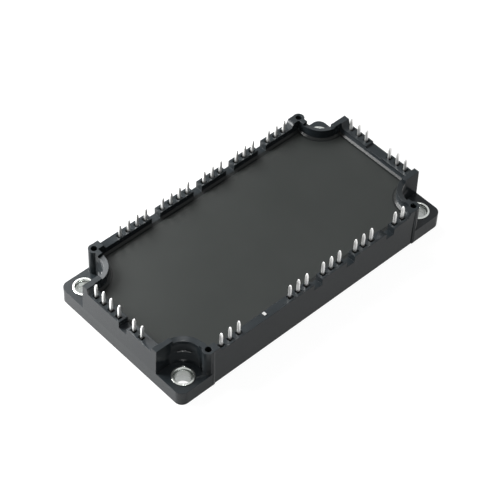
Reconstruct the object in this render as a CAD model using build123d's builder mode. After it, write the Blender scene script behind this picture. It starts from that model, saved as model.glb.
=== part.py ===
from build123d import *
import math
import os

# Power semiconductor module: a moulded frame on a metal base, solder pins in rows along all four
# walls, a flat lid sunk between the walls and a screw recess at each corner. Millimetres.
# Origin: middle of the cooling face. +X runs along the long side, +Z up.

# Overall block
module_length = 122.0
module_width = 62.0
corner_round = 3.0
frame_underside = 0.1
flange_height = 6.0
end_height = 17.0
pin_wall_drop = 2.0
wall_draft = 1.5

# Long outer walls: a shallow panel between two upright ribs
rib_proud = 0.15
panel_depth = 0.3
rib_width = 0.8
rib_inset = 14.3

# Cavity above the lid, and the shelves below it
end_wall = 4.0
side_wall = 3.5
recess_wall = 1.9
lid_sink = 2.8
lid_thickness = 2.0
lid_joint = 1.3
lid_bearing = 1.2
sealant_rise = 0.7
shelf_height = 5.6
shelf_depth = 5.0
shelf_corner = 1.0

# Mounting holes, their metal bushings and the screw recesses
hole_inset = 6.0
hole_diameter = 5.5
bushing_wall = 0.85
collar_overhang = 0.4
collar_height = 0.4
recess_radius = 6.5
recess_step_drop = 5.6
recess_step = 0.5
arc_drop = 0.9
arc_end_back = 1.1
arc_end_past = 0.2
ramp_inset_x = 16.8
ramp_inset_y = 14.7
ramp_run = 1.0
ramp_run_short = 0.6

# Posts for the circuit board screws
post_inset_x = 13.54
post_inset_y = 2.45
post_radius = 2.1
post_hole_diameter = 2.3
post_hole_depth = 8.0

# Solder pins
pin_pitch = 3.81
long_row_inset = 2.425
short_row_inset = 1.945
pin_width = 1.15
pin_thickness = 0.8
pin_rise = 3.5
pin_taper_length = 1.4
pin_tip_inset = 0.2
foot_setback = 0.6
stub_height = 0.25
slot_rise = 0.1
pocket_length = 2.1
pocket_width = 1.7
pocket_depth = 0.8
pocket_offset = 0.2

# Pin positions along each wall, in pitches from the middle
near_groups = [(-11, -10, -9), (-3, -2, -1), (1, 2, 3), (5, 6, 7), (10, 11)]
far_groups = [
    (-9.5, -8.5, -7.5, -6.5),
    (-4.5, -3.5, -2.5, -1.5),
    (0.5, 1.5, 2.5),
    (4.5, 5.5, 6.5),
    (8.5, 9.5, 10.5),
]
left_groups = [(-2.5, -1.5), (0.5, 1.5, 2.5, 3.5)]
right_groups = [(-3.5, -2.5, -1.5), (1.5, 2.5, 3.5)]
stub_position = -6

# Gaps in the wall tops, as (middle, width) in pitches
near_gaps = [(0, 1), (4, 1), (9, 1)]
far_gaps = [(-5.5, 1), (-0.5, 1), (3.5, 1), (7.5, 1)]
left_gaps = [(-0.5, 1)]
right_gaps = [(0, 2)]

# Base plate
plate_thickness = 3.0
plate_rim = 1.8
plate_gap = 0.15
plate_round = 1.5

# Three substrates on the base plate
substrate_gap = 1.0
substrate_clearance_x = 3.0
substrate_clearance_y = 5.5
solder_thickness = 0.15
copper_thickness = 0.3
ceramic_thickness = 0.63
copper_margin = 0.8
edge_pad_width = 2.4
side_pad_width = 2.2
track_gap = 0.6

# Chips, their solder and wires
chip_solder_thickness = 0.08
chip_thickness = 0.2
igbt_size = 9.6
diode_size = 7.0
rectifier_size = 6.4
wire_size = 0.4
wire_rise = 1.3
wire_foot = 0.9
wire_inset = 1.0
thermistor_length = 3.2
thermistor_width = 1.6
thermistor_height = 0.9
gel_drop = 1.6

os.makedirs("parts", exist_ok=True)


def save(piece, name):
    piece.part.label = name
    export_step(piece.part, f"parts/{name}.step")


# Worked-out places, from the outer sizes inwards and from the top down
hole_x = module_length / 2 - hole_inset
hole_y = module_width / 2 - hole_inset
post_x = module_length / 2 - post_inset_x
post_y = module_width / 2 - post_inset_y
pin_row_x = module_length / 2 - short_row_inset
pin_row_y = module_width / 2 - long_row_inset
rib_x = module_length / 2 - rib_inset
ramp_top_x = module_length / 2 - ramp_inset_x
ramp_top_y = module_width / 2 - ramp_inset_y
bushing_diameter = hole_diameter + 2 * bushing_wall
collar_diameter = bushing_diameter + 2 * collar_overhang
wall_height = end_height - pin_wall_drop
pin_tip_height = end_height + pin_rise
lid_top = wall_height - lid_sink
slot_floor = lid_top + slot_rise
flange_width = module_width - 2 * rib_proud
cavity_x = module_length / 2 - end_wall
cavity_y = module_width / 2 - side_wall
corner_wall_radius = recess_radius + recess_wall
lid_seat = lid_top - lid_thickness
gel_height = lid_seat - gel_drop
seat_inset = lid_joint + lid_bearing
rib_lean = (end_height - flange_height) * math.tan(math.radians(wall_draft))
rib_levels = [(frame_underside, flange_height, 0.0), (flange_height, end_height, rib_lean)]
long_foot_reach = pin_row_y - (cavity_y - shelf_depth) - foot_setback
short_foot_reach = pin_row_x - (cavity_x - shelf_depth) - foot_setback
substrates_length = 2 * (cavity_x - shelf_depth - substrate_clearance_x)
substrate_length = (substrates_length - 2 * substrate_gap) / 3
substrate_width = 2 * (cavity_y - shelf_depth - substrate_clearance_y)
substrate_pitch = substrate_length + substrate_gap
pin_tip_angle = math.degrees(math.atan2(pin_tip_inset, pin_taper_length))
reach = module_length
corners = [(sx, sy) for sx in (-1, 1) for sy in (-1, 1)]
hole_spots = [(sx * hole_x, sy * hole_y) for sx, sy in corners]
post_spots = [(sx * post_x, sy * post_y) for sx, sy in corners]


def corner_regions(radius, arc_step=0.0, faceted=False, mode=Mode.ADD):
    # The four corner areas of a plan, each rounded about its mounting hole, or in three straight
    # faces. A step draws the middle of the rounded stretch nearer to the hole, on a larger round
    # that runs out into the straight sides.
    far = module_length / 2
    shift = arc_step / (math.sqrt(2) - 1)
    for sx, sy in corners:
        with Locations((sx * (hole_x + shift), sy * (hole_y + shift))):
            if faceted:
                RegularPolygon(radius, 8, major_radius=False, rotation=22.5, mode=mode)
            else:
                Circle(radius + shift, mode=mode)
        with Locations((sx * (hole_x + shift + far / 2), sy * (hole_y - radius + far / 2))):
            Rectangle(far, far, mode=mode)
        with Locations((sx * (hole_x - radius + far / 2), sy * (hole_y + shift + far / 2))):
            Rectangle(far, far, mode=mode)


def cavity_plan(inset, corner_inset, faceted=False):
    # Plan of the space between the walls, narrowed by an inset along the walls and at the corners.
    Rectangle(2 * (cavity_x - inset), 2 * (cavity_y - inset))
    corner_regions(corner_wall_radius + corner_inset, faceted=faceted, mode=Mode.SUBTRACT)


def fitting(groups, row_end):
    # The pin groups with the positions that lie between the corner blocks of their wall.
    return [[step for step in group if abs(step) * pin_pitch < row_end] for group in groups]


def wall_places():
    # Each wall's name, row distance, inward direction, foot reach, pin groups and gaps.
    long_end = hole_x - corner_wall_radius - pocket_length
    short_end = hole_y - corner_wall_radius - pocket_length
    near = fitting(near_groups, long_end)
    far = fitting(far_groups, long_end)
    left = fitting(left_groups, short_end)
    right = fitting(right_groups, short_end)
    return [
        ("near", -pin_row_y, 90, long_foot_reach, near, near_gaps),
        ("far", pin_row_y, -90, long_foot_reach, far, far_gaps),
        ("left", -pin_row_x, 0, short_foot_reach, left, left_gaps),
        ("right", pin_row_x, 180, short_foot_reach, right, right_gaps),
    ]


def place(wall, offset, step, turn, across=0.0):
    # Location on a wall at a number of pitches from its middle. Local +X points into the module.
    along = step * pin_pitch
    if wall in ("near", "far"):
        spot = Location((along, offset, 0), (0, 0, turn))
    else:
        spot = Location((offset, along, 0), (0, 0, turn))
    return spot * Location((across, 0, 0))


def terminal_bar(foot_reach, top):
    # Upright bar and the flat foot that points inwards from its lower end.
    with BuildSketch(Plane.XY.offset(shelf_height)) as bar_plan:
        Rectangle(pin_thickness, pin_width)
    extrude(bar_plan.sketch, amount=top - shelf_height)
    with BuildSketch(Plane.XY.offset(shelf_height)) as foot_plan:
        with Locations((foot_reach / 2, 0)):
            Rectangle(foot_reach, pin_width)
    extrude(foot_plan.sketch, amount=pin_thickness)


def cut_gaps():
    # Clears the gaps in the wall tops down to their floor.
    for wall, offset, turn, foot_reach, groups, gaps in wall_places():
        for middle, width in gaps:
            with BuildSketch(Plane.XY.offset(slot_floor)) as gap_plan:
                with Locations(place(wall, offset, middle, turn)):
                    Rectangle(4 * side_wall, width * pin_pitch)
            extrude(gap_plan.sketch, amount=end_height, mode=Mode.SUBTRACT)


# Terminal templates, by foot reach: an upright pin with a tapered tip, and the space it takes
pin_templates = {}
space_templates = {}
for foot_reach in (long_foot_reach, short_foot_reach):
    with BuildPart() as pin_template:
        terminal_bar(foot_reach, pin_tip_height - pin_taper_length)
        with BuildSketch(Plane.XY.offset(pin_tip_height - pin_taper_length)):
            Rectangle(pin_thickness, pin_width)
        extrude(amount=pin_taper_length, taper=pin_tip_angle)
    pin_templates[foot_reach] = pin_template.part
    with BuildPart() as space_template:
        terminal_bar(foot_reach, reach)
    space_templates[foot_reach] = space_template.part

# The terminal that is left empty on the near side, cut off just above the wall
with BuildPart() as stub_template:
    terminal_bar(long_foot_reach, wall_height + stub_height)

# Moulded frame
with BuildPart() as housing_frame:
    with BuildSketch(Plane.XY.offset(frame_underside)):
        RectangleRounded(module_length, flange_width, corner_round)
    extrude(amount=flange_height - frame_underside)
    with BuildSketch(Plane.XY.offset(flange_height)):
        Rectangle(module_length, flange_width)
    extrude(amount=end_height - flange_height, taper=wall_draft)

    # Shallow panel along the long walls
    with BuildSketch(Plane.XY.offset(frame_underside)):
        for side in (-1, 1):
            with Locations((0, side * flange_width / 2)):
                Rectangle(2 * rib_x - rib_width, 2 * panel_depth)
    extrude(amount=end_height, mode=Mode.SUBTRACT)

    # Upright ribs at the ends of the panel, steep towards the posts, that lean with the wall
    for low, high, lean in rib_levels:
        for sx, sy in corners:
            for level, shift in ((low, 0.0), (high, lean)):
                rib_face = flange_width / 2 - shift
                with BuildSketch(Plane.XY.offset(level)):
                    with BuildLine():
                        Polyline(
                            (sx * (rib_x + rib_width / 2), sy * (rib_face - panel_depth)),
                            (sx * (rib_x + rib_width / 2), sy * (rib_face + rib_proud)),
                            (sx * (rib_x - rib_width / 2), sy * (rib_face - panel_depth)),
                            close=True,
                        )
                    make_face()
            loft(ruled=True)

    # Screw recesses, their rounded wall stepped in below
    recess_step_height = end_height - recess_step_drop
    with BuildSketch(Plane.XY.offset(recess_step_height)):
        corner_regions(recess_radius)
    extrude(amount=end_height, mode=Mode.SUBTRACT)
    with BuildSketch(Plane.XY.offset(flange_height)):
        corner_regions(recess_radius, recess_step)
    extrude(amount=recess_step_height - flange_height, mode=Mode.SUBTRACT)

    # Board posts, the wall ends rounded with them
    with BuildSketch(Plane.XY.offset(flange_height)):
        for sx, sy in corners:
            with Locations((sx * (post_x + post_radius), sy * (post_y + post_radius))):
                Rectangle(2 * post_radius, 2 * post_radius)
    extrude(amount=end_height, mode=Mode.SUBTRACT)
    with BuildSketch(Plane.XY.offset(flange_height)):
        with Locations(post_spots):
            Circle(post_radius)
    extrude(amount=end_height - flange_height)

    # Cavity above the lid seat, and the two narrower levels below it, straight-sided at the corners
    with BuildSketch(Plane.XY.offset(lid_seat)):
        cavity_plan(0, 0)
    extrude(amount=end_height, mode=Mode.SUBTRACT)
    with BuildSketch(Plane.XY.offset(shelf_height)):
        cavity_plan(seat_inset, lid_joint, faceted=True)
    extrude(amount=lid_seat - shelf_height, mode=Mode.SUBTRACT)
    with BuildSketch(Plane.XY.offset(plate_thickness)):
        cavity_plan(shelf_depth, shelf_corner, faceted=True)
    extrude(amount=shelf_height - plate_thickness, mode=Mode.SUBTRACT)

    # Arc walls stand a little lower than the corner blocks
    with BuildSketch(Plane.XY.offset(end_height - arc_drop)):
        arc_low_x = hole_x - corner_wall_radius - recess_wall / 2
        arc_low_y = hole_y - corner_wall_radius - recess_wall / 2
        arc_end_x = hole_x - arc_end_back
        arc_end_y = hole_y + arc_end_past
        for sx, sy in corners:
            with Locations((sx * (arc_low_x + arc_end_x) / 2, sy * (arc_low_y + arc_end_y) / 2)):
                Rectangle(arc_end_x - arc_low_x, arc_end_y - arc_low_y)
    extrude(amount=end_height, mode=Mode.SUBTRACT)

    # Pin walls drop below the corner blocks, with a ramp at each end
    with BuildSketch(Plane.XZ):
        ramp_foot_x = ramp_top_x - ramp_run
        with BuildLine():
            Polyline(
                (-ramp_foot_x, wall_height),
                (ramp_foot_x, wall_height),
                (ramp_top_x, end_height),
                (ramp_top_x, 2 * end_height),
                (-ramp_top_x, 2 * end_height),
                (-ramp_top_x, end_height),
                close=True,
            )
        make_face()
    extrude(amount=reach, both=True, mode=Mode.SUBTRACT)
    with BuildSketch(Plane.YZ):
        ramp_foot_y = ramp_top_y - ramp_run_short
        with BuildLine():
            Polyline(
                (-ramp_foot_y, wall_height),
                (ramp_foot_y, wall_height),
                (ramp_top_y, end_height),
                (ramp_top_y, 2 * end_height),
                (-ramp_top_y, 2 * end_height),
                (-ramp_top_y, end_height),
                close=True,
            )
        make_face()
    extrude(amount=reach, both=True, mode=Mode.SUBTRACT)

    # Gaps between the pin groups
    cut_gaps()

    # A pocket round each pin, and the space for the moulded-in terminals
    for wall, offset, turn, foot_reach, groups, gaps in wall_places():
        for group in groups:
            with BuildSketch(Plane.XY.offset(wall_height - pocket_depth)):
                for step in group:
                    with Locations(place(wall, offset, step, turn, -pocket_offset)):
                        Rectangle(pocket_width, pocket_length)
            extrude(amount=end_height, mode=Mode.SUBTRACT)
            with Locations([place(wall, offset, step, turn) for step in group]):
                add(space_templates[foot_reach], mode=Mode.SUBTRACT)
    with Locations(place("near", -pin_row_y, stub_position, 90)):
        add(space_templates[long_foot_reach], mode=Mode.SUBTRACT)

    # Rebate for the base plate, bushing holes and blind screw holes in the posts
    with BuildSketch(Plane.XY):
        plate_length = module_length - 2 * plate_rim
        plate_width = flange_width - 2 * plate_rim
        RectangleRounded(plate_length, plate_width, plate_round + plate_gap)
    extrude(amount=plate_thickness, mode=Mode.SUBTRACT)
    with BuildSketch(Plane.XY.offset(plate_thickness)):
        with Locations(hole_spots):
            Circle(bushing_diameter / 2)
    extrude(amount=flange_height - plate_thickness, mode=Mode.SUBTRACT)
    with BuildSketch(Plane.XY.offset(end_height - post_hole_depth)):
        with Locations(post_spots):
            Circle(post_hole_diameter / 2)
    extrude(amount=post_hole_depth, mode=Mode.SUBTRACT)
save(housing_frame, "housing_frame")

# Base plate, clear of the rebate all round
with BuildPart() as baseplate:
    with BuildSketch():
        RectangleRounded(
            module_length - 2 * (plate_rim + plate_gap),
            flange_width - 2 * (plate_rim + plate_gap),
            plate_round,
        )
        with Locations(hole_spots):
            Circle(hole_diameter / 2, mode=Mode.SUBTRACT)
    extrude(amount=plate_thickness)
save(baseplate, "baseplate")

# Metal bushings with a rolled collar on the flange
with BuildPart() as mounting_bushings:
    with BuildSketch(Plane.XY.offset(plate_thickness)):
        with Locations(hole_spots):
            Circle(bushing_diameter / 2)
    extrude(amount=flange_height - plate_thickness)
    with BuildSketch(Plane.XY.offset(flange_height)):
        with Locations(hole_spots):
            Circle(collar_diameter / 2)
    extrude(amount=collar_height)
    collar_edges = mounting_bushings.edges().filter_by(GeomType.CIRCLE).group_by(Axis.Z)[-1]
    chamfer(collar_edges, collar_height / 2)
    with BuildSketch(Plane.XY.offset(plate_thickness)):
        with Locations(hole_spots):
            Circle(hole_diameter / 2)
    extrude(amount=flange_height, mode=Mode.SUBTRACT)
save(mounting_bushings, "mounting_bushings")

# Lid, resting on the seat inside the walls
with BuildPart() as lid:
    with BuildSketch(Plane.XY.offset(lid_seat)):
        cavity_plan(lid_joint, lid_joint)
    extrude(amount=lid_thickness)
save(lid, "lid")

# Sealant in the joint round the lid, drawn up the wall in a sloping bead
with BuildPart() as lid_sealant:
    with BuildSketch(Plane.XY.offset(lid_seat)):
        cavity_plan(0, 0)
    extrude(amount=lid_thickness + sealant_rise)
    with BuildSketch(Plane.XY.offset(lid_seat)):
        cavity_plan(lid_joint, lid_joint)
    extrude(amount=lid_thickness, mode=Mode.SUBTRACT)
    for inset, rise in ((lid_joint, 0), (0, sealant_rise)):
        with BuildSketch(Plane.XY.offset(lid_top + rise)):
            cavity_plan(inset, inset)
    loft(ruled=True, mode=Mode.SUBTRACT)
    cut_gaps()
save(lid_sealant, "lid_sealant")

# Terminals, one node for each group of pins
for wall, offset, turn, foot_reach, groups, gaps in wall_places():
    for number, group in enumerate(groups, start=1):
        with BuildPart() as terminal_group:
            with Locations([place(wall, offset, step, turn) for step in group]):
                add(pin_templates[foot_reach])
        save(terminal_group, f"{wall}_terminals_{number}")

with BuildPart() as clipped_terminal:
    with Locations(place("near", -pin_row_y, stub_position, 90)):
        add(stub_template.part)
save(clipped_terminal, "clipped_terminal")

# Levels of the substrates and chips, from the base plate up
solder_level = plate_thickness
lower_copper_level = solder_level + solder_thickness
ceramic_level = lower_copper_level + copper_thickness
upper_copper_level = ceramic_level + ceramic_thickness
track_level = upper_copper_level + copper_thickness
chip_level = track_level + chip_solder_thickness
chip_top = chip_level + chip_thickness
copper_length = substrate_length - 2 * copper_margin
copper_width = substrate_width - 2 * copper_margin

layers = [
    ("base_solder", solder_level, solder_thickness, copper_length, copper_width),
    ("lower_copper", lower_copper_level, copper_thickness, copper_length, copper_width),
    ("ceramic_substrates", ceramic_level, ceramic_thickness, substrate_length, substrate_width),
]
stack = []
for name, level, thickness, length, width in layers:
    with BuildPart() as layer:
        with BuildSketch(Plane.XY.offset(level)):
            with GridLocations(substrate_pitch, 0, 3, 1):
                Rectangle(length, width)
        extrude(amount=thickness)
    save(layer, name)
    stack.append(layer.part)

# Copper areas on each substrate: a pad strip along both long walls, two chip tracks between them,
# and a pad beside each short wall. Areas are (low x, high x, low y, high y).
strip_y = copper_width / 2 - edge_pad_width
track_y = strip_y - track_gap
edge_pads = []
side_pads = []
chip_tracks = []
for middle in (-substrate_pitch, 0.0, substrate_pitch):
    low_x = middle - copper_length / 2
    high_x = middle + copper_length / 2
    track_low = low_x
    track_high = high_x
    if middle < 0:
        side_pads.append((low_x, low_x + side_pad_width, -track_y, track_y))
        track_low = low_x + side_pad_width + track_gap
    if middle > 0:
        side_pads.append((high_x - side_pad_width, high_x, -track_y, track_y))
        track_high = high_x - side_pad_width - track_gap
    track_middle = (track_low + track_high) / 2
    chip_tracks.append((track_low, track_middle - track_gap / 2, -track_y, track_y))
    chip_tracks.append((track_middle + track_gap / 2, track_high, -track_y, track_y))
    for part_low, part_high in (
        (low_x, middle - track_gap / 2),
        (middle + track_gap / 2, high_x),
    ):
        edge_pads.append((part_low, part_high, -copper_width / 2, -strip_y))
        edge_pads.append((part_low, part_high, strip_y, copper_width / 2))

with BuildPart() as upper_copper:
    with BuildSketch(Plane.XY.offset(upper_copper_level)):
        for low_x, high_x, low_y, high_y in edge_pads + side_pads + chip_tracks:
            with Locations(((low_x + high_x) / 2, (low_y + high_y) / 2)):
                Rectangle(high_x - low_x, high_y - low_y)
    extrude(amount=copper_thickness)
save(upper_copper, "upper_copper")
stack.append(upper_copper.part)

# Chips in an evenly spread column on each track: rectifiers on the left substrate, switches and
# diodes elsewhere
rectifier_column = [("rectifier_chips", rectifier_size)] * 3
switch_column = [("igbt_chips", igbt_size), ("diode_chips", diode_size)]
columns = [rectifier_column] * 2 + [switch_column] * 4
chips = []
for (low_x, high_x, low_y, high_y), column in zip(chip_tracks, columns):
    chip_gap = (high_y - low_y - sum(size for kind, size in column)) / (len(column) + 1)
    chip_y = low_y + chip_gap
    for kind, size in column:
        chips.append((kind, size, (low_x + high_x) / 2, chip_y + size / 2))
        chip_y += size + chip_gap

with BuildPart() as chip_solder:
    with BuildSketch(Plane.XY.offset(track_level)):
        for kind, size, chip_x, chip_y in chips:
            with Locations((chip_x, chip_y)):
                Rectangle(size, size)
    extrude(amount=chip_solder_thickness)
save(chip_solder, "chip_solder")
stack.append(chip_solder.part)

for name in ("igbt_chips", "diode_chips", "rectifier_chips"):
    with BuildPart() as chip_group:
        with BuildSketch(Plane.XY.offset(chip_level)):
            for kind, size, chip_x, chip_y in chips:
                if kind == name:
                    with Locations((chip_x, chip_y)):
                        Rectangle(size, size)
        extrude(amount=chip_thickness)
    save(chip_group, name)
    stack.append(chip_group.part)

# Temperature sensor in the far corner of a middle track, beside the diode
with BuildPart() as thermistor:
    sensor_x = chip_tracks[2][0] + thermistor_width / 2 + track_gap
    sensor_y = chip_tracks[2][3] - thermistor_length / 2 - track_gap
    with BuildSketch(Plane.XY.offset(track_level)):
        with Locations((sensor_x, sensor_y)):
            Rectangle(thermistor_width, thermistor_length)
    extrude(amount=thermistor_height)
save(thermistor, "thermistor")
stack.append(thermistor.part)


def bond_wire(start_x, start_y, start_z, end_x, end_y, end_z):
    # A looped wire between two surfaces, pressed flat on each for the length of its foot.
    span = math.hypot(end_x - start_x, end_y - start_y)
    across_x = (end_x - start_x) / span
    across_y = (end_y - start_y) / span
    loop_z = max(end_z - start_z, 0.0) + wire_rise
    drop = end_z - start_z
    outline = [
        (0.0, 0.0),
        (wire_foot, 0.0),
        (span / 2, loop_z),
        (span - wire_foot, drop),
        (span, drop),
        (span / 2, loop_z + wire_size),
    ]
    wire_plane = Plane(
        origin=(start_x, start_y, start_z),
        x_dir=(across_x, across_y, 0),
        z_dir=(across_y, -across_x, 0),
    )
    with BuildSketch(wire_plane) as wire_profile:
        with BuildLine():
            Polyline(*outline, close=True)
        make_face()
    extrude(wire_profile.sketch, amount=wire_size / 2, both=True)


# Wires from the near pads over the chips of each column to the far pads
with BuildPart() as chip_bond_wires:
    for (low_x, high_x, low_y, high_y), column in zip(chip_tracks, columns):
        column_x = (low_x + high_x) / 2
        stations = [(-copper_width / 2, -strip_y, track_level)]
        for kind, size, chip_x, chip_y in chips:
            if chip_x == column_x:
                stations.append((chip_y - size / 2, chip_y + size / 2, chip_top))
        stations.append((strip_y, copper_width / 2, track_level))
        for before, after in zip(stations[:-1], stations[1:]):
            start_y = before[1] - wire_inset
            end_y = after[0] + wire_inset
            bond_wire(column_x, start_y, before[2], column_x, end_y, after[2])
save(chip_bond_wires, "chip_bond_wires")
stack.append(chip_bond_wires.part)


def nearest_on(areas, value, low, high):
    # The value moved, where needed, to the nearest place that a wire's foot has on the areas.
    spots = [min(max(value, area[low] + wire_size), area[high] - wire_size) for area in areas]
    return min(spots, key=lambda spot: abs(spot - value))


# Wires from the terminal feet to the pads
foot_top = shelf_height + pin_thickness
with BuildPart() as terminal_bond_wires:
    for wall, offset, turn, foot_reach, groups, gaps in wall_places():
        side = math.copysign(1, offset)
        foot_end = side * (abs(offset) - foot_reach + wire_inset)
        for step in [step for group in groups for step in group]:
            along = step * pin_pitch
            if wall in ("near", "far"):
                pad_end = side * (copper_width / 2 - wire_inset)
                pad_x = nearest_on(edge_pads, along, 0, 1)
                bond_wire(along, foot_end, foot_top, pad_x, pad_end, track_level)
            else:
                pad_end = side * (substrate_pitch + copper_length / 2 - wire_inset)
                pad_y = nearest_on(side_pads, along, 2, 3)
                bond_wire(foot_end, along, foot_top, pad_end, pad_y, track_level)
save(terminal_bond_wires, "terminal_bond_wires")
stack.append(terminal_bond_wires.part)

# Soft filling over the chips, poured round everything that stands in it
with BuildPart() as silicone_gel:
    with BuildSketch(Plane.XY.offset(plate_thickness)):
        cavity_plan(shelf_depth, shelf_corner, faceted=True)
    extrude(amount=shelf_height - plate_thickness)
    with BuildSketch(Plane.XY.offset(shelf_height)):
        cavity_plan(seat_inset, lid_joint, faceted=True)
    extrude(amount=gel_height - shelf_height)
    for wall, offset, turn, foot_reach, groups, gaps in wall_places():
        for group in groups:
            with Locations([place(wall, offset, step, turn) for step in group]):
                add(space_templates[foot_reach], mode=Mode.SUBTRACT)
    with Locations(place("near", -pin_row_y, stub_position, 90)):
        add(space_templates[long_foot_reach], mode=Mode.SUBTRACT)
    for piece in stack:
        add(piece, mode=Mode.SUBTRACT)
save(silicone_gel, "silicone_gel")
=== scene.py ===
import math
import bmesh
import bpy
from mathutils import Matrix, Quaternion, Vector


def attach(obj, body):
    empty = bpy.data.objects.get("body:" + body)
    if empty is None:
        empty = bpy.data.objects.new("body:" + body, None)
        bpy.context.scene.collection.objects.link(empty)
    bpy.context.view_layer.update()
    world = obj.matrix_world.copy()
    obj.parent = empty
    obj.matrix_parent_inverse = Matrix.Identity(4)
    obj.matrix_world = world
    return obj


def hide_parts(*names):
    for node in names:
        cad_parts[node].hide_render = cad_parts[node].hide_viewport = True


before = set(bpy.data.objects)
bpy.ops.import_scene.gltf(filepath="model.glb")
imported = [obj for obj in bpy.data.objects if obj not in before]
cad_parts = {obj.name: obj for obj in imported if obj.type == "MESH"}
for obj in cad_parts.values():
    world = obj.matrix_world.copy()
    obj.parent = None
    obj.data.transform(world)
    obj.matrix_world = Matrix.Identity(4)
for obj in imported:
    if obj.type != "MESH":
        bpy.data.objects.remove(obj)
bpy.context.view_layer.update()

mm = 0.001
holeX = 55 * mm  # the mounting holes' distance from the middle
holeY = 25 * mm
corners = [(sx, sy) for sx in (-1, 1) for sy in (-1, 1)]
print("frame loaded:", len(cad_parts), "nodes")


# objects, meshes and nodes

def placed(name, data):
    # an object in the scene for a mesh, a lamp or a camera
    piece = bpy.data.objects.new(name, data)
    bpy.context.scene.collection.objects.link(piece)
    return piece


def meshPiece(name, points, faces, material):
    mesh = bpy.data.meshes.new(name)
    mesh.from_pydata(points, [], faces)
    mesh.materials.append(material)
    return placed(name, mesh)


def emptyTree(owner):
    # the node tree of a material or a world, with nothing in it
    owner.use_nodes = True
    owner.node_tree.nodes.clear()
    return owner.node_tree


def feed(tree, socket, value):
    # links a socket, or sets a plain value
    if isinstance(value, bpy.types.NodeSocket):
        tree.links.new(value, socket)
    else:
        socket.default_value = value


def addNode(tree, kind, inputs, **settings):
    # a node with its settings made first, then its inputs by name or number
    node = tree.nodes.new(kind)
    for setting, value in settings.items():
        setattr(node, setting, value)
    for label, value in inputs.items():
        feed(tree, node.inputs[label], value)
    return node


def calc(tree, operation, first, second):
    return addNode(tree, "ShaderNodeMath", {0: first, 1: second}, operation=operation).outputs["Value"]


# materials

# shared by all finishes: the noise's detail, the part of its range that colour and sheen use, and
# how finely a soft edge is sampled
recipe = {"mottleDetail": 3, "grainDetail": 2, "colorFrom": 0.35, "colorTo": 0.65, "sheenFrom": 0.3,
          "sheenTo": 0.7, "edgeSamples": 4}


def noiseOn(tree, scale, detail, stretch=(1, 1, 1)):
    # noise in Object coordinates, so that it stays on the piece
    coords = addNode(tree, "ShaderNodeTexCoord", {})
    mapping = addNode(tree, "ShaderNodeMapping", {"Vector": coords.outputs["Object"], "Scale": stretch})
    noise = addNode(tree, "ShaderNodeTexNoise",
                    {"Vector": mapping.outputs["Vector"], "Scale": scale, "Detail": detail})
    return noise.outputs["Fac"]


def colorBetween(tree, value, dark, pale):
    ramp = addNode(tree, "ShaderNodeValToRGB", {"Fac": value})
    stops = ramp.color_ramp.elements
    stops[0].position = recipe["colorFrom"]
    stops[1].position = recipe["colorTo"]
    stops[0].color = (*dark, 1)
    stops[1].color = (*pale, 1)
    return ramp.outputs["Color"]


def carried(tree, value, fromLow, fromHigh, toLow, toHigh):
    # a number carried from one range to another
    span = addNode(tree, "ShaderNodeMapRange", {"Value": value, "From Min": fromLow, "From Max": fromHigh,
                                                "To Min": toLow, "To Max": toHigh})
    return span.outputs["Result"]


def reliefOn(tree, height, depth, edge):
    # fine relief over softly broken edges
    bump = addNode(tree, "ShaderNodeBump", {"Strength": 1.0, "Distance": depth, "Height": height})
    if edge:
        soft = addNode(tree, "ShaderNodeBevel", {"Radius": edge}, samples=recipe["edgeSamples"])
        feed(tree, bump.inputs["Normal"], soft.outputs["Normal"])
    return bump.outputs["Normal"]


def finish(name, look):
    # one recipe for the hard surfaces: mottled colour, uneven sheen, fine relief, soft edges
    material = bpy.data.materials.new(name)
    tree = emptyTree(material)
    mottle = noiseOn(tree, look["mottleScale"], recipe["mottleDetail"])
    grain = noiseOn(tree, look["grainScale"], recipe["grainDetail"], look.get("grainStretch", (1, 1, 1)))
    shader = addNode(tree, "ShaderNodeBsdfPrincipled", {
        "Base Color": colorBetween(tree, mottle, look["dark"], look["pale"]),
        "Roughness": carried(tree, mottle, recipe["sheenFrom"], recipe["sheenTo"],
                             look["roughLow"], look["roughHigh"]),
        "Metallic": look.get("metallic", 0),
        "Specular IOR Level": look.get("specular", 0.5),
        "Normal": reliefOn(tree, grain, look["grainDepth"], look.get("edge", 0)),
    })
    addNode(tree, "ShaderNodeOutputMaterial", {"Surface": shader.outputs["BSDF"]})
    return material


def paintPocketShade(material, look):
    # painted shade: the base colour is darker below a height, where the pin sits in its shaded pocket
    tree = material.node_tree
    shader = next(node for node in tree.nodes if node.type == "BSDF_PRINCIPLED")
    bright = shader.inputs["Base Color"].links[0].from_socket
    coords = addNode(tree, "ShaderNodeTexCoord", {})
    place = addNode(tree, "ShaderNodeSeparateXYZ", {"Vector": coords.outputs["Object"]})
    light = carried(tree, place.outputs["Z"], look["footLevel"], look["unshadedLevel"], look["footShade"], 1.0)
    shade = addNode(tree, "ShaderNodeVectorMath", {0: bright, "Scale": light}, operation="SCALE")
    feed(tree, shader.inputs["Base Color"], shade.outputs["Vector"])


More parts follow.
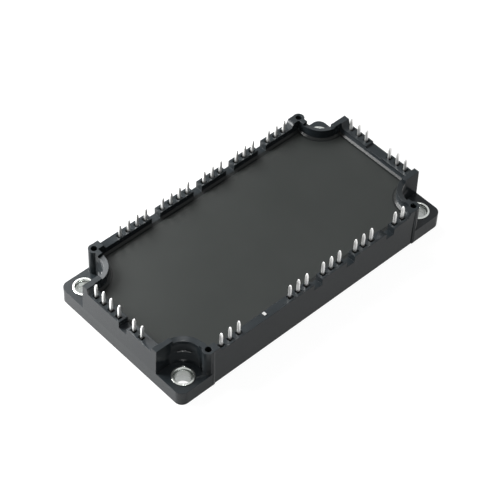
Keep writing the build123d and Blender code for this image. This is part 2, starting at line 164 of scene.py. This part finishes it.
frameLook = {"dark": (0.010, 0.0128, 0.0148), "pale": (0.014, 0.0168, 0.0188), "mottleScale": 90,
             "roughLow": 0.2, "roughHigh": 0.27, "specular": 0.18,
             "grainScale": 2600, "grainDepth": 0.008 * mm, "edge": 0.2 * mm}
recessLook = {**frameLook, "roughLow": 0.06, "roughHigh": 0.09, "specular": 0.07}
ledgeLook = {**frameLook, "roughLow": 0.08, "roughHigh": 0.12, "specular": 0.65, "edge": 0}
lidLook = {"dark": (0.017, 0.0188, 0.0179), "pale": (0.019, 0.0208, 0.0199), "mottleScale": 30,
           "roughLow": 0.32, "roughHigh": 0.38, "specular": 0.12,
           "grainScale": 1800, "grainDepth": 0.006 * mm, "edge": 0.1 * mm}
sealantLook = {"dark": (0.01, 0.011, 0.011), "pale": (0.014, 0.015, 0.015), "mottleScale": 120,
               "roughLow": 0.16, "roughHigh": 0.24, "specular": 0.1,
               "grainScale": 500, "grainDepth": 0.01 * mm}
ringLook = {"dark": (0.5, 0.52, 0.5), "pale": (0.6, 0.62, 0.6), "mottleScale": 220,
            "roughLow": 0.16, "roughHigh": 0.28, "metallic": 1,
            "grainScale": 1500, "grainDepth": 0.008 * mm}
# the pins' base colour fades from full at unshadedLevel down to footShade at footLevel: painted shade in
# the pockets
pinLook = {"dark": (0.8, 0.8, 0.79), "pale": (0.92, 0.92, 0.91), "mottleScale": 400,
           "roughLow": 0.42, "roughHigh": 0.52, "metallic": 1,
           "grainScale": 900, "grainDepth": 0.01 * mm, "grainStretch": (3, 3, 0.4),
           "footLevel": 14.7 * mm, "unshadedLevel": 15.9 * mm, "footShade": 0.06}
plateLook = {"dark": (0.58, 0.6, 0.59), "pale": (0.68, 0.7, 0.69), "mottleScale": 60,
             "roughLow": 0.3, "roughHigh": 0.42, "metallic": 1,
             "grainScale": 900, "grainDepth": 0.01 * mm, "grainStretch": (0.2, 3, 1), "edge": 0.15 * mm}
copperLook = {"dark": (0.62, 0.33, 0.2), "pale": (0.78, 0.46, 0.32), "mottleScale": 150,
              "roughLow": 0.28, "roughHigh": 0.42, "metallic": 1,
              "grainScale": 1200, "grainDepth": 0.006 * mm}
solderLook = {"dark": (0.42, 0.42, 0.43), "pale": (0.56, 0.56, 0.56), "mottleScale": 200,
              "roughLow": 0.35, "roughHigh": 0.5, "metallic": 1,
              "grainScale": 700, "grainDepth": 0.01 * mm}
ceramicLook = {"dark": (0.8, 0.79, 0.76), "pale": (0.88, 0.87, 0.85), "mottleScale": 90,
               "roughLow": 0.55, "roughHigh": 0.7, "grainScale": 2200, "grainDepth": 0.006 * mm}
sensorLook = {"dark": (0.12, 0.12, 0.12), "pale": (0.18, 0.18, 0.18), "mottleScale": 300,
              "roughLow": 0.4, "roughHigh": 0.55, "grainScale": 1800, "grainDepth": 0.006 * mm}
chipLook = {"dark": (0.3, 0.3, 0.33), "pale": (0.4, 0.4, 0.43), "mottleScale": 120,
            "roughLow": 0.2, "roughHigh": 0.3, "metallic": 1,
            "grainScale": 1400, "grainDepth": 0.003 * mm}
wireLook = {"dark": (0.75, 0.76, 0.77), "pale": (0.86, 0.86, 0.87), "mottleScale": 400,
            "roughLow": 0.25, "roughHigh": 0.35, "metallic": 1,
            "grainScale": 1200, "grainDepth": 0.004 * mm}
gelLook = {"dark": (0.66, 0.66, 0.62), "pale": (0.74, 0.74, 0.7), "mottleScale": 60,
           "roughLow": 0.12, "roughHigh": 0.2, "grainScale": 400, "grainDepth": 0.01 * mm}

blackMoulding = finish("blackMoulding", frameLook)
recessMoulding = finish("recessMoulding", recessLook)
ledgeMoulding = finish("ledgeMoulding", ledgeLook)
lidMoulding = finish("lidMoulding", lidLook)
curedSealant = finish("curedSealant", sealantLook)
platedRing = finish("platedRing", ringLook)
tinnedPin = finish("tinnedPin", pinLook)
# painted shade on the pins' feet, where they sit in their pockets
paintPocketShade(tinnedPin, pinLook)
nodeFinishes = {
    "housing_frame": blackMoulding,
    "lid": lidMoulding,
    "lid_sealant": curedSealant,
    "mounting_bushings": platedRing,
    "baseplate": finish("platedBase", plateLook),
    "lower_copper": finish("bareCopper", copperLook),
    "base_solder": finish("dullSolder", solderLook),
    "ceramic_substrates": finish("whiteCeramic", ceramicLook),
    "thermistor": finish("sensorBody", sensorLook),
    "igbt_chips": finish("chipMetal", chipLook),
    "chip_bond_wires": finish("drawnWire", wireLook),
    "silicone_gel": finish("softGel", gelLook),
}
nodeFinishes["upper_copper"] = nodeFinishes["lower_copper"]
nodeFinishes["chip_solder"] = nodeFinishes["base_solder"]
nodeFinishes["diode_chips"] = nodeFinishes["igbt_chips"]
nodeFinishes["rectifier_chips"] = nodeFinishes["igbt_chips"]
nodeFinishes["terminal_bond_wires"] = nodeFinishes["chip_bond_wires"]

# every node left over is a group of pins
for nodeName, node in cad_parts.items():
    node.data.materials.clear()
    node.data.materials.append(nodeFinishes.get(nodeName, tinnedPin))
print("materials on", len(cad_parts), "nodes")


# Geometry Nodes helpers

def newTree(name, labels):
    # a tree with one geometry input, a named number for each size, and a material
    tree = bpy.data.node_groups.new(name, "GeometryNodeTree")
    tree.interface.new_socket("Geometry", in_out="INPUT", socket_type="NodeSocketGeometry")
    for label in labels:
        tree.interface.new_socket(label, in_out="INPUT", socket_type="NodeSocketFloat")
    tree.interface.new_socket("Material", in_out="INPUT", socket_type="NodeSocketMaterial")
    tree.interface.new_socket("Geometry", in_out="OUTPUT", socket_type="NodeSocketGeometry")
    return tree, addNode(tree, "NodeGroupInput", {}).outputs


def vectorOf(tree, x=0.0, y=0.0, z=0.0):
    return addNode(tree, "ShaderNodeCombineXYZ", {"X": x, "Y": y, "Z": z}).outputs["Vector"]


def lineBetween(tree, start, end):
    return addNode(tree, "GeometryNodeCurvePrimitiveLine", {"Start": start, "End": end}).outputs["Curve"]


def rounded(tree, curve, steps, radius):
    # a curve with its corners turned into short steps
    node = addNode(tree, "GeometryNodeFilletCurve", {"Curve": curve, "Count": steps, "Radius": radius},
                   mode="POLY")
    return node.outputs["Curve"]


def sweep(tree, path, profile, capped, scale=1.0):
    node = addNode(tree, "GeometryNodeCurveToMesh",
                   {"Curve": path, "Profile Curve": profile, "Scale": scale, "Fill Caps": capped})
    return node.outputs["Mesh"]


def joined(tree, parts):
    node = addNode(tree, "GeometryNodeJoinGeometry", {})
    for part in parts:
        tree.links.new(part, node.inputs["Geometry"])
    return node.outputs["Geometry"]


def storedNumber(tree, name):
    node = addNode(tree, "GeometryNodeInputNamedAttribute", {"Name": name}, data_type="FLOAT")
    return node.outputs["Attribute"]


def repeated(tree, points, piece, turn=0.0):
    # the piece at every point, turned about Z, as real geometry
    spread = addNode(tree, "GeometryNodeInstanceOnPoints",
                     {"Points": points, "Instance": piece, "Rotation": vectorOf(tree, z=turn)})
    real = addNode(tree, "GeometryNodeRealizeInstances", {"Geometry": spread.outputs["Instances"]})
    return real.outputs["Geometry"]


def endTree(tree, geometry, material):
    paint = addNode(tree, "GeometryNodeSetMaterial", {"Geometry": geometry, "Material": material})
    addNode(tree, "NodeGroupOutput", {"Geometry": paint.outputs["Geometry"]})


def pointMesh(name, spots, numbers):
    # loose points, with numbers stored on each
    mesh = bpy.data.meshes.new(name)
    mesh.from_pydata(spots, [], [])
    for label, values in numbers.items():
        stored = mesh.attributes.new(label, "FLOAT", "POINT")
        stored.data.foreach_set("value", values)
    return mesh


def keepShape(piece):
    # the shape that its modifiers give becomes the piece's own mesh
    graph = bpy.context.evaluated_depsgraph_get()
    shape = piece.evaluated_get(graph)
    mesh = bpy.data.meshes.new_from_object(shape, preserve_all_data_layers=True, depsgraph=graph)
    piece.modifiers.clear()
    piece.data = mesh
    mesh.name = piece.name


def grow(name, tree, points, sizes, material):
    # runs a tree on the points and keeps the result as a plain mesh
    piece = placed(name, points)
    modifier = piece.modifiers.new("grow", "NODES")
    modifier.node_group = tree
    given = {**sizes, "Material": material}
    for item in tree.interface.items_tree:
        if item.in_out == "INPUT" and item.name in given:
            modifier[item.identifier] = given[item.name]
    keepShape(piece)
    return piece


meshing = {"mergeWithin": 0.0005 * mm, "flatAngle": 0.3, "flatWeight": 100}


def smoothBy(piece, degrees, flats=False):
    # outward normals, then smooth shading up to an angle; flats are joined up and stay flat
    shape = bmesh.new()
    shape.from_mesh(piece.data)
    bmesh.ops.remove_doubles(shape, verts=shape.verts, dist=meshing["mergeWithin"])
    if flats:
        limit = math.radians(meshing["flatAngle"])
        bmesh.ops.dissolve_limit(shape, angle_limit=limit, verts=shape.verts, edges=shape.edges)
    bmesh.ops.recalc_face_normals(shape, faces=shape.faces)
    shape.to_mesh(piece.data)
    shape.free()
    piece.data.polygons.foreach_set("use_smooth", [True] * len(piece.data.polygons))
    piece.data.set_sharp_from_angle(angle=math.radians(degrees))
    if flats:
        weights = piece.modifiers.new("flats", "WEIGHTED_NORMAL")
        weights.keep_sharp = True
        weights.weight = meshing["flatWeight"]
        keepShape(piece)


# housing: the CAD frame with its edges merged, a shallower gap in the right wall, lower arc walls
# below the rims, and glossier walls in the screw recesses

housingForm = {
    "slack": 0.05 * mm,  # points are picked by their height, within this
    "smooth": 30,
    "arcTop": 16.1 * mm, "arcLowered": 15.82 * mm,
    "gapFloor": 12.3 * mm, "gapRaised": 14.2 * mm, "gapFromX": 56.5 * mm, "gapHalfWidth": 4.6 * mm,
    "recessReach": 7.6 * mm, "recessAbove": 6.1 * mm, "recessUpright": 0.5,
}
housing = placed("mouldedHousing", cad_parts["housing_frame"].data.copy())
for vertex in housing.data.vertices:
    x, y, z = vertex.co
    inGap = x > housingForm["gapFromX"] and abs(y) < housingForm["gapHalfWidth"]
    if inGap and abs(z - housingForm["gapFloor"]) < housingForm["slack"]:
        vertex.co.z = housingForm["gapRaised"]
    if abs(z - housingForm["arcTop"]) < housingForm["slack"]:
        vertex.co.z = housingForm["arcLowered"]
smoothBy(housing, housingForm["smooth"], flats=True)
housing.data.materials.append(recessMoulding)
for face in housing.data.polygons:
    fromHole = math.hypot(abs(face.center.x) - holeX, abs(face.center.y) - holeY)
    if fromHole < housingForm["recessReach"] and abs(face.normal.z) < housingForm["recessUpright"]:
        face.material_index = int(face.center.z > housingForm["recessAbove"])
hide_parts("housing_frame")
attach(housing, "root")
print("housing done:", len(housing.data.polygons), "faces")


# arc rims: the tops of the arc walls slope towards the screw recesses, and the ledge inside has a
# rounded edge

bands = {"steps": 36, "smooth": 25}
rim = {"inner": 6.5 * mm, "outer": 8.4 * mm, "foot": 15.78 * mm, "low": 15.84 * mm, "high": 16.34 * mm}
# the middle of the ledge's arc lies beyond the hole by the shift, and its ends are in degrees
ledge = {"shift": 1.207 * mm, "radius": 7.8 * mm, "level": 11.25 * mm, "round": 0.28 * mm,
         "roundSteps": 18, "arc": (28, 62)}


def arcBand(name, section, material, arc=(0, 90), shift=0):
    # a closed section of radii and heights, swept round each hole, or round a point beyond it
    points = []
    faces = []
    around = len(section)
    for sx, sy in corners:
        first = len(points)
        for step in range(bands["steps"] + 1):
            angle = math.radians(arc[0] + (arc[1] - arc[0]) * step / bands["steps"])
            for radius, height in section:
                points.append((sx * (holeX + shift - radius * math.sin(angle)),
                               sy * (holeY + shift - radius * math.cos(angle)), height))
        for step in range(bands["steps"]):
            near = first + step * around
            for side in range(around):
                after = (side + 1) % around
                faces.append((near + side, near + after, near + around + after, near + around + side))
        last = first + bands["steps"] * around
        faces.append(tuple(range(first, first + around)))
        faces.append(tuple(range(last, last + around)))
    band = meshPiece(name, points, faces, material)
    smoothBy(band, bands["smooth"])
    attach(band, "root")


rimSection = [(rim["inner"], rim["foot"]), (rim["inner"], rim["low"]), (rim["outer"], rim["high"]),
              (rim["outer"], rim["foot"])]
arcBand("arcRims", rimSection, blackMoulding)
ledgeSection = []
for step in range(ledge["roundSteps"]):
    angle = 2 * math.pi * step / ledge["roundSteps"]
    ledgeSection.append((ledge["radius"] + ledge["round"] * math.cos(angle),
                         ledge["level"] + ledge["round"] * math.sin(angle)))
arcBand("recessLedges", ledgeSection, ledgeMoulding, ledge["arc"], ledge["shift"])
print("arc rims done")


# solder pins: a bent bar with a rounded section and a drawn-in tip, leaning a little where the photo
# shows it

pinSizes = {"Width": 1.15 * mm, "Thickness": 0.8 * mm, "Corner": 0.2 * mm, "Foot Level": 5.6 * mm,
            "Top": 20.5 * mm, "Taper": 1.5 * mm, "Tip Share": 0.5, "Bend": 0.45 * mm,
            "Lean Level": 14.2 * mm}
pinMaking = {"tipSteps": 6, "bendSteps": 4, "cornerSteps": 3, "tipPower": 1.7, "joinWithin": 0.01 * mm,
             "smooth": 40}
stubSizes = {**pinSizes, "Width": 1.4 * mm, "Thickness": 1.1 * mm, "Top": 15.25 * mm, "Taper": 0.1 * mm,
             "Tip Share": 0.95}

pinTree, pin = newTree("solderPin", [*pinSizes, "Foot Reach"])
footZ = calc(pinTree, "ADD", pin["Foot Level"], calc(pinTree, "MULTIPLY", pin["Thickness"], 0.5))
shoulderZ = calc(pinTree, "SUBTRACT", pin["Top"], pin["Taper"])
toe = vectorOf(pinTree, x=pin["Foot Reach"], z=footZ)
heel = vectorOf(pinTree, z=footZ)
shoulder = vectorOf(pinTree, z=shoulderZ)
tip = lineBetween(pinTree, shoulder, vectorOf(pinTree, z=pin["Top"]))
tipLine = addNode(pinTree, "GeometryNodeResampleCurve", {"Curve": tip, "Count": pinMaking["tipSteps"]})
lines = [lineBetween(pinTree, toe, heel), lineBetween(pinTree, heel, shoulder), tipLine.outputs["Curve"]]
asMesh = addNode(pinTree, "GeometryNodeCurveToMesh", {"Curve": joined(pinTree, lines)})
oneLine = addNode(pinTree, "GeometryNodeMergeByDistance",
                  {"Geometry": asMesh.outputs["Mesh"], "Distance": pinMaking["joinWithin"]})
route = addNode(pinTree, "GeometryNodeMeshToCurve", {"Mesh": oneLine.outputs["Geometry"]})
bent = rounded(pinTree, route.outputs["Curve"], pinMaking["bendSteps"], pin["Bend"])

# the tip narrows with the height above the shoulder
place = addNode(pinTree, "GeometryNodeInputPosition", {})
split = addNode(pinTree, "ShaderNodeSeparateXYZ", {"Vector": place.outputs["Position"]})
height = split.outputs["Z"]
along = calc(pinTree, "DIVIDE", calc(pinTree, "SUBTRACT", height, shoulderZ), pin["Taper"])
drawn = calc(pinTree, "POWER", calc(pinTree, "MAXIMUM", along, 0.0), pinMaking["tipPower"])
narrowing = calc(pinTree, "MULTIPLY", drawn, calc(pinTree, "SUBTRACT", 1.0, pin["Tip Share"]))
share = calc(pinTree, "SUBTRACT", 1.0, narrowing)
barBox = addNode(pinTree, "GeometryNodeCurvePrimitiveQuadrilateral",
                 {"Width": pin["Width"], "Height": pin["Thickness"]})
barProfile = rounded(pinTree, barBox.outputs["Curve"], pinMaking["cornerSteps"], pin["Corner"])
bar = sweep(pinTree, bent, barProfile, True, share)
standing = repeated(pinTree, pin["Geometry"], bar, storedNumber(pinTree, "turn"))

# a pin leans from its pocket upwards
rise = calc(pinTree, "MAXIMUM", calc(pinTree, "SUBTRACT", height, pin["Lean Level"]), 0.0)
shift = vectorOf(pinTree, x=calc(pinTree, "MULTIPLY", rise, storedNumber(pinTree, "leanX")),
                 y=calc(pinTree, "MULTIPLY", rise, storedNumber(pinTree, "leanY")))
leaning = addNode(pinTree, "GeometryNodeSetPosition", {"Geometry": standing, "Offset": shift})
endTree(pinTree, leaning.outputs["Geometry"], pin["Material"])

pitch = 3.81 * mm
longRow = 28.575 * mm  # each row's distance from the middle
shortRow = 59.055 * mm
longReach = 5.475 * mm  # how far the pins' feet reach inwards
shortReach = 6.455 * mm
# each wall's pins: their turn in degrees, the reach of their feet, and their places in pitches
rows = {
    "near": {"turn": 90, "reach": longReach,
             "groups": [(-11, -10, -9), (-3, -2, -1), (1, 2, 3), (5, 6, 7), (10, 11)]},
    "far": {"turn": -90, "reach": longReach,
            "groups": [(-9.5, -8.5, -7.5, -6.5), (-4.5, -3.5, -2.5, -1.5), (0.5, 1.5, 2.5), (4.5, 5.5, 6.5),
                       (8.5, 9.5, 10.5)]},
    "left": {"turn": 0, "reach": shortReach, "groups": [(-2.5, -1.5), (0.5, 1.5, 2.5, 3.5)]},
    "right": {"turn": 180, "reach": shortReach, "groups": [(-3.5, -2.5, -1.5), (1.5, 2.5, 3.5)]},
}
stubStep = -6  # the clipped pin's place in the near row
# pins that lean in the photo: (wall, position) to the slope along X and Y
leans = {("left", 0.5): (0.02, -0.02), ("left", -2.5): (0.02, -0.02)}


def pinSpot(wall, step):
    if wall in ("near", "far"):
        return (step * pitch, -longRow if wall == "near" else longRow, 0)
    return (-shortRow if wall == "left" else shortRow, step * pitch, 0)


def pinGroup(name, wall, steps, sizes):
    spots = [pinSpot(wall, step) for step in steps]
    slopes = [leans.get((wall, step), (0, 0)) for step in steps]
    turn = math.radians(rows[wall]["turn"])
    points = pointMesh(name, spots, {"turn": [turn] * len(steps), "leanX": [slope[0] for slope in slopes],
                                     "leanY": [slope[1] for slope in slopes]})
    piece = grow(name, pinTree, points, {**sizes, "Foot Reach": rows[wall]["reach"]}, tinnedPin)
    smoothBy(piece, pinMaking["smooth"])
    return piece


for wall, row in rows.items():
    for number, steps in enumerate(row["groups"], start=1):
        pins = pinGroup(f"{wall}Pins{number}", wall, steps, pinSizes)
        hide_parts(f"{wall}_terminals_{number}")
        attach(pins, "root")
stub = pinGroup("clippedPin", "near", (stubStep,), stubSizes)
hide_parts("clipped_terminal")
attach(stub, "root")
print("solder pins done")


# mounting rings: a sleeve under a rolled rim with a dished mouth

ringSizes = {"Bore": 2.75 * mm, "Sleeve": 3.6 * mm, "Rim": 3.3 * mm, "Collar": 4.0 * mm,
             "Bottom": 3.0 * mm, "Dish": 5.5 * mm, "Seat": 6.0 * mm, "Top": 6.4 * mm,
             "Roll": 0.12 * mm, "Sleeve Roll": 0.02 * mm}
ringMaking = {"around": 96, "rollSteps": 5, "smooth": 50}


def turned(tree, section, roll):
    # a ring whose section has four corners, each a radius and a height
    inner = section[0][0]
    circle = addNode(tree, "GeometryNodeCurvePrimitiveCircle",
                     {"Resolution": ringMaking["around"], "Radius": inner})
    box = addNode(tree, "GeometryNodeCurvePrimitiveQuadrilateral", {}, mode="POINTS")
    for number, (radius, height) in enumerate(section, start=1):
        reach = calc(tree, "SUBTRACT", radius, inner)
        drop = calc(tree, "MULTIPLY", height, -1.0)  # the section's Y points down on this circle
        feed(tree, box.inputs[f"Point {number}"], vectorOf(tree, x=reach, y=drop))
    profile = rounded(tree, box.outputs["Curve"], ringMaking["rollSteps"], roll)
    return sweep(tree, circle.outputs["Curve"], profile, False)


ringTree, ring = newTree("mountingRing", ringSizes)
sleeveSection = [(ring["Bore"], ring["Bottom"]), (ring["Sleeve"], ring["Bottom"]),
                 (ring["Sleeve"], ring["Dish"]), (ring["Bore"], ring["Dish"])]
collarSection = [(ring["Bore"], ring["Dish"]), (ring["Collar"], ring["Seat"]),
                 (ring["Collar"], ring["Top"]), (ring["Rim"], ring["Top"])]
sleeve = turned(ringTree, sleeveSection, ring["Sleeve Roll"])
collar = turned(ringTree, collarSection, ring["Roll"])
fourRings = repeated(ringTree, ring["Geometry"], joined(ringTree, [sleeve, collar]))
endTree(ringTree, fourRings, ring["Material"])

ringPoints = pointMesh("mountingRings", [(sx * holeX, sy * holeY, 0) for sx, sy in corners], {})
rings = grow("mountingRings", ringTree, ringPoints, ringSizes, platedRing)
smoothBy(rings, ringMaking["smooth"])
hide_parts("mounting_bushings")
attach(rings, "root")
print("mounting rings done")


# sealant: a bevelled bead round the lid, low where a wall has a gap

bead = {"cavityX": 57 * mm, "cavityY": 27.5 * mm, "cornerRadius": 8.4 * mm, "joint": 1.3 * mm,
        "bevel": 0.66 * mm, "rise": 0.6 * mm, "seat": 10.2 * mm, "lidTop": 12.2 * mm,
        "gapFloor": housingForm["gapFloor"], "gapPitches": 1, "arcSteps": 28, "smooth": 12}
# the middle of each gap, in pitches; the right wall's gap ends above the bead
wallGaps = {"near": (0, 4, 9), "far": (-5.5, -0.5, 3.5, 7.5), "left": (-0.5,), "right": ()}


def cornerRun(sx, sy, inset):
    # outline points round one corner, from the short wall to the long wall
    radius = bead["cornerRadius"] + inset
    points = [(sx * (bead["cavityX"] - inset), sy * (holeY - radius))]
    for step in range(bead["arcSteps"] + 1):
        angle = math.pi / 2 * step / bead["arcSteps"]
        points.append((sx * (holeX - radius * math.sin(angle)), sy * (holeY - radius * math.cos(angle))))
    points.append((sx * (holeX - radius), sy * (bead["cavityY"] - inset)))
    return [(point, False) for point in points]


def gapRun(wall, inset, forward):
    # pairs of points at the ends of each gap along a wall, with a low stretch between them
    points = []
    side = -1 if wall in ("near", "left") else 1
    halfGap = bead["gapPitches"] / 2
    for middle in sorted(wallGaps[wall], reverse=not forward):
        ends = sorted([(middle - halfGap) * pitch, (middle + halfGap) * pitch], reverse=not forward)
        for end, low in ((ends[0], False), (ends[0], True), (ends[1], True), (ends[1], False)):
            if wall in ("near", "far"):
                points.append(((end, side * (bead["cavityY"] - inset)), low))
            else:
                points.append(((side * (bead["cavityX"] - inset), end), low))
    return points


def outline(inset):
    # the whole outline, counterclockwise from the near wall
    stretches = [
        gapRun("near", inset, True), cornerRun(1, -1, inset)[::-1], gapRun("right", inset, True),
        cornerRun(1, 1, inset), gapRun("far", inset, False), cornerRun(-1, 1, inset)[::-1],
        gapRun("left", inset, False), cornerRun(-1, -1, inset),
    ]
    return [point for stretch in stretches for point in stretch]


beadSection = [(bead["joint"], bead["seat"]), (bead["joint"], bead["lidTop"]),
               (bead["bevel"], bead["lidTop"]), (0, bead["lidTop"] + bead["rise"]), (0, bead["seat"])]
beadPoints = []
for inset, level in beadSection:
    for (x, y), low in outline(inset):
        beadPoints.append((x, y, min(level, bead["gapFloor"]) if low else level))
around = len(beadPoints) // len(beadSection)
beadFaces = []
for strip in range(len(beadSection)):
    here = strip * around
    there = (strip + 1) % len(beadSection) * around
    for step in range(around):
        after = (step + 1) % around
        beadFaces.append((here + step, here + after, there + after, there + step))
lidBead = meshPiece("lidBead", beadPoints, beadFaces, curedSealant)
smoothBy(lidBead, bead["smooth"])
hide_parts("lid_sealant")
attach(lidBead, "root")
print("lid bead done")


# floor, light and camera

def rayIs(tree, kinds):
    # 1 for the named kinds of ray
    path = addNode(tree, "ShaderNodeLightPath", {})
    found = path.outputs[kinds[0]]
    for kind in kinds[1:]:
        found = calc(tree, "MAXIMUM", found, path.outputs[kind])
    return found


def mixed(tree, share, first, second):
    return addNode(tree, "ShaderNodeMixShader", {0: share, 1: first, 2: second}).outputs["Shader"]


def areaLight(name, place, target, size, power):
    lamp = bpy.data.lights.new(name, "AREA")
    lamp.shape = "RECTANGLE"
    lamp.size, lamp.size_y = size
    lamp.energy = power
    holder = placed(name, lamp)
    holder.location = place
    holder.rotation_euler = (Vector(target) - Vector(place)).to_track_quat("-Z", "Y").to_euler()


studio = {"floorSize": 6.0, "floorGlow": 0.93, "floorFaint": 0.12, "floorPale": 0.42, "floorHaze": 0.42,
          "roomLight": 0.35, "backLight": 1.0}

world = bpy.data.worlds.new("studioWorld")
bpy.context.scene.world = world
worldTree = emptyTree(world)
backgrounds = []
for strength in (studio["roomLight"], studio["backLight"]):
    background = addNode(worldTree, "ShaderNodeBackground", {"Color": (1, 1, 1, 1), "Strength": strength})
    backgrounds.append(background.outputs["Background"])
direct = rayIs(worldTree, ["Is Camera Ray", "Is Glossy Ray", "Is Transmission Ray"])
addNode(worldTree, "ShaderNodeOutputWorld", {"Surface": mixed(worldTree, direct, *backgrounds)})

# the floor glows nearly white to the camera, and is a grey with a softer glow to all other rays
floorMaterial = bpy.data.materials.new("paleFloor")
floorTree = emptyTree(floorMaterial)
floorToRest = (studio["floorPale"], studio["floorHaze"])
floorToCamera = (studio["floorFaint"], studio["floorGlow"])
layers = []
for shade, strength in (floorToRest, floorToCamera):
    matt = addNode(floorTree, "ShaderNodeBsdfDiffuse", {"Color": (shade, shade, shade, 1)})
    glow = addNode(floorTree, "ShaderNodeEmission", {"Strength": strength})
    both = addNode(floorTree, "ShaderNodeAddShader", {0: matt.outputs["BSDF"], 1: glow.outputs["Emission"]})
    layers.append(both.outputs["Shader"])
shown = mixed(floorTree, rayIs(floorTree, ["Is Camera Ray"]), *layers)
addNode(floorTree, "ShaderNodeOutputMaterial", {"Surface": shown})

halfFloor = studio["floorSize"] / 2
floorPoints = [(sx * halfFloor, sy * halfFloor, 0) for sx, sy in ((-1, -1), (1, -1), (1, 1), (-1, 1))]
floor = meshPiece("paleFloor", floorPoints, [(0, 1, 2, 3)], floorMaterial)

lamps = {
    "sideSoftbox": {"place": (-0.15, 0.21, 0.165), "target": (-0.02, 0, 0.01),
                    "size": (0.2, 0.14), "power": 2.3},
    "farSoftbox": {"place": (0, 0.52, 0.4), "target": (0, 0, 0.01),
                   "size": (0.4, 0.45), "power": 4.7},
    "glintLamp": {"place": (-0.176, 0.162, 0.234), "target": (0.057, 0, 0.012),
                  "size": (0.12, 0.08), "power": 0.27},
    "ringLamp": {"place": (0.14, 0.31, 0.39), "target": (-0.055, 0.025, 0.006),
                 "size": (0.12, 0.14), "power": 0.075},
    "topLamp": {"place": (-0.04, -0.01, 0.5), "target": (-0.04, -0.01, 0.01),
                "size": (0.04, 0.04), "power": 0.45},
}
for lampName, lamp in lamps.items():
    areaLight(lampName, **lamp)

view = {"place": (-0.29230, -0.29021, 0.47234), "target": (-0.00556, -0.00319, 0.012), "roll": 2.839,
        "lens": 130.45, "sensor": 36}
camera = bpy.data.cameras.new("photoCamera")
camera.lens = view["lens"]
camera.sensor_width = view["sensor"]
cameraHolder = placed("photoCamera", camera)
cameraHolder.location = view["place"]
viewDirection = (Vector(view["target"]) - Vector(view["place"])).normalized()
rollTurn = Quaternion(viewDirection, -math.radians(view["roll"]))
cameraHolder.rotation_mode = "QUATERNION"
cameraHolder.rotation_quaternion = rollTurn @ viewDirection.to_track_quat("-Z", "Y")
bpy.context.scene.camera = cameraHolder
bpy.context.scene.view_settings.view_transform = "Standard"
print("studio ready")
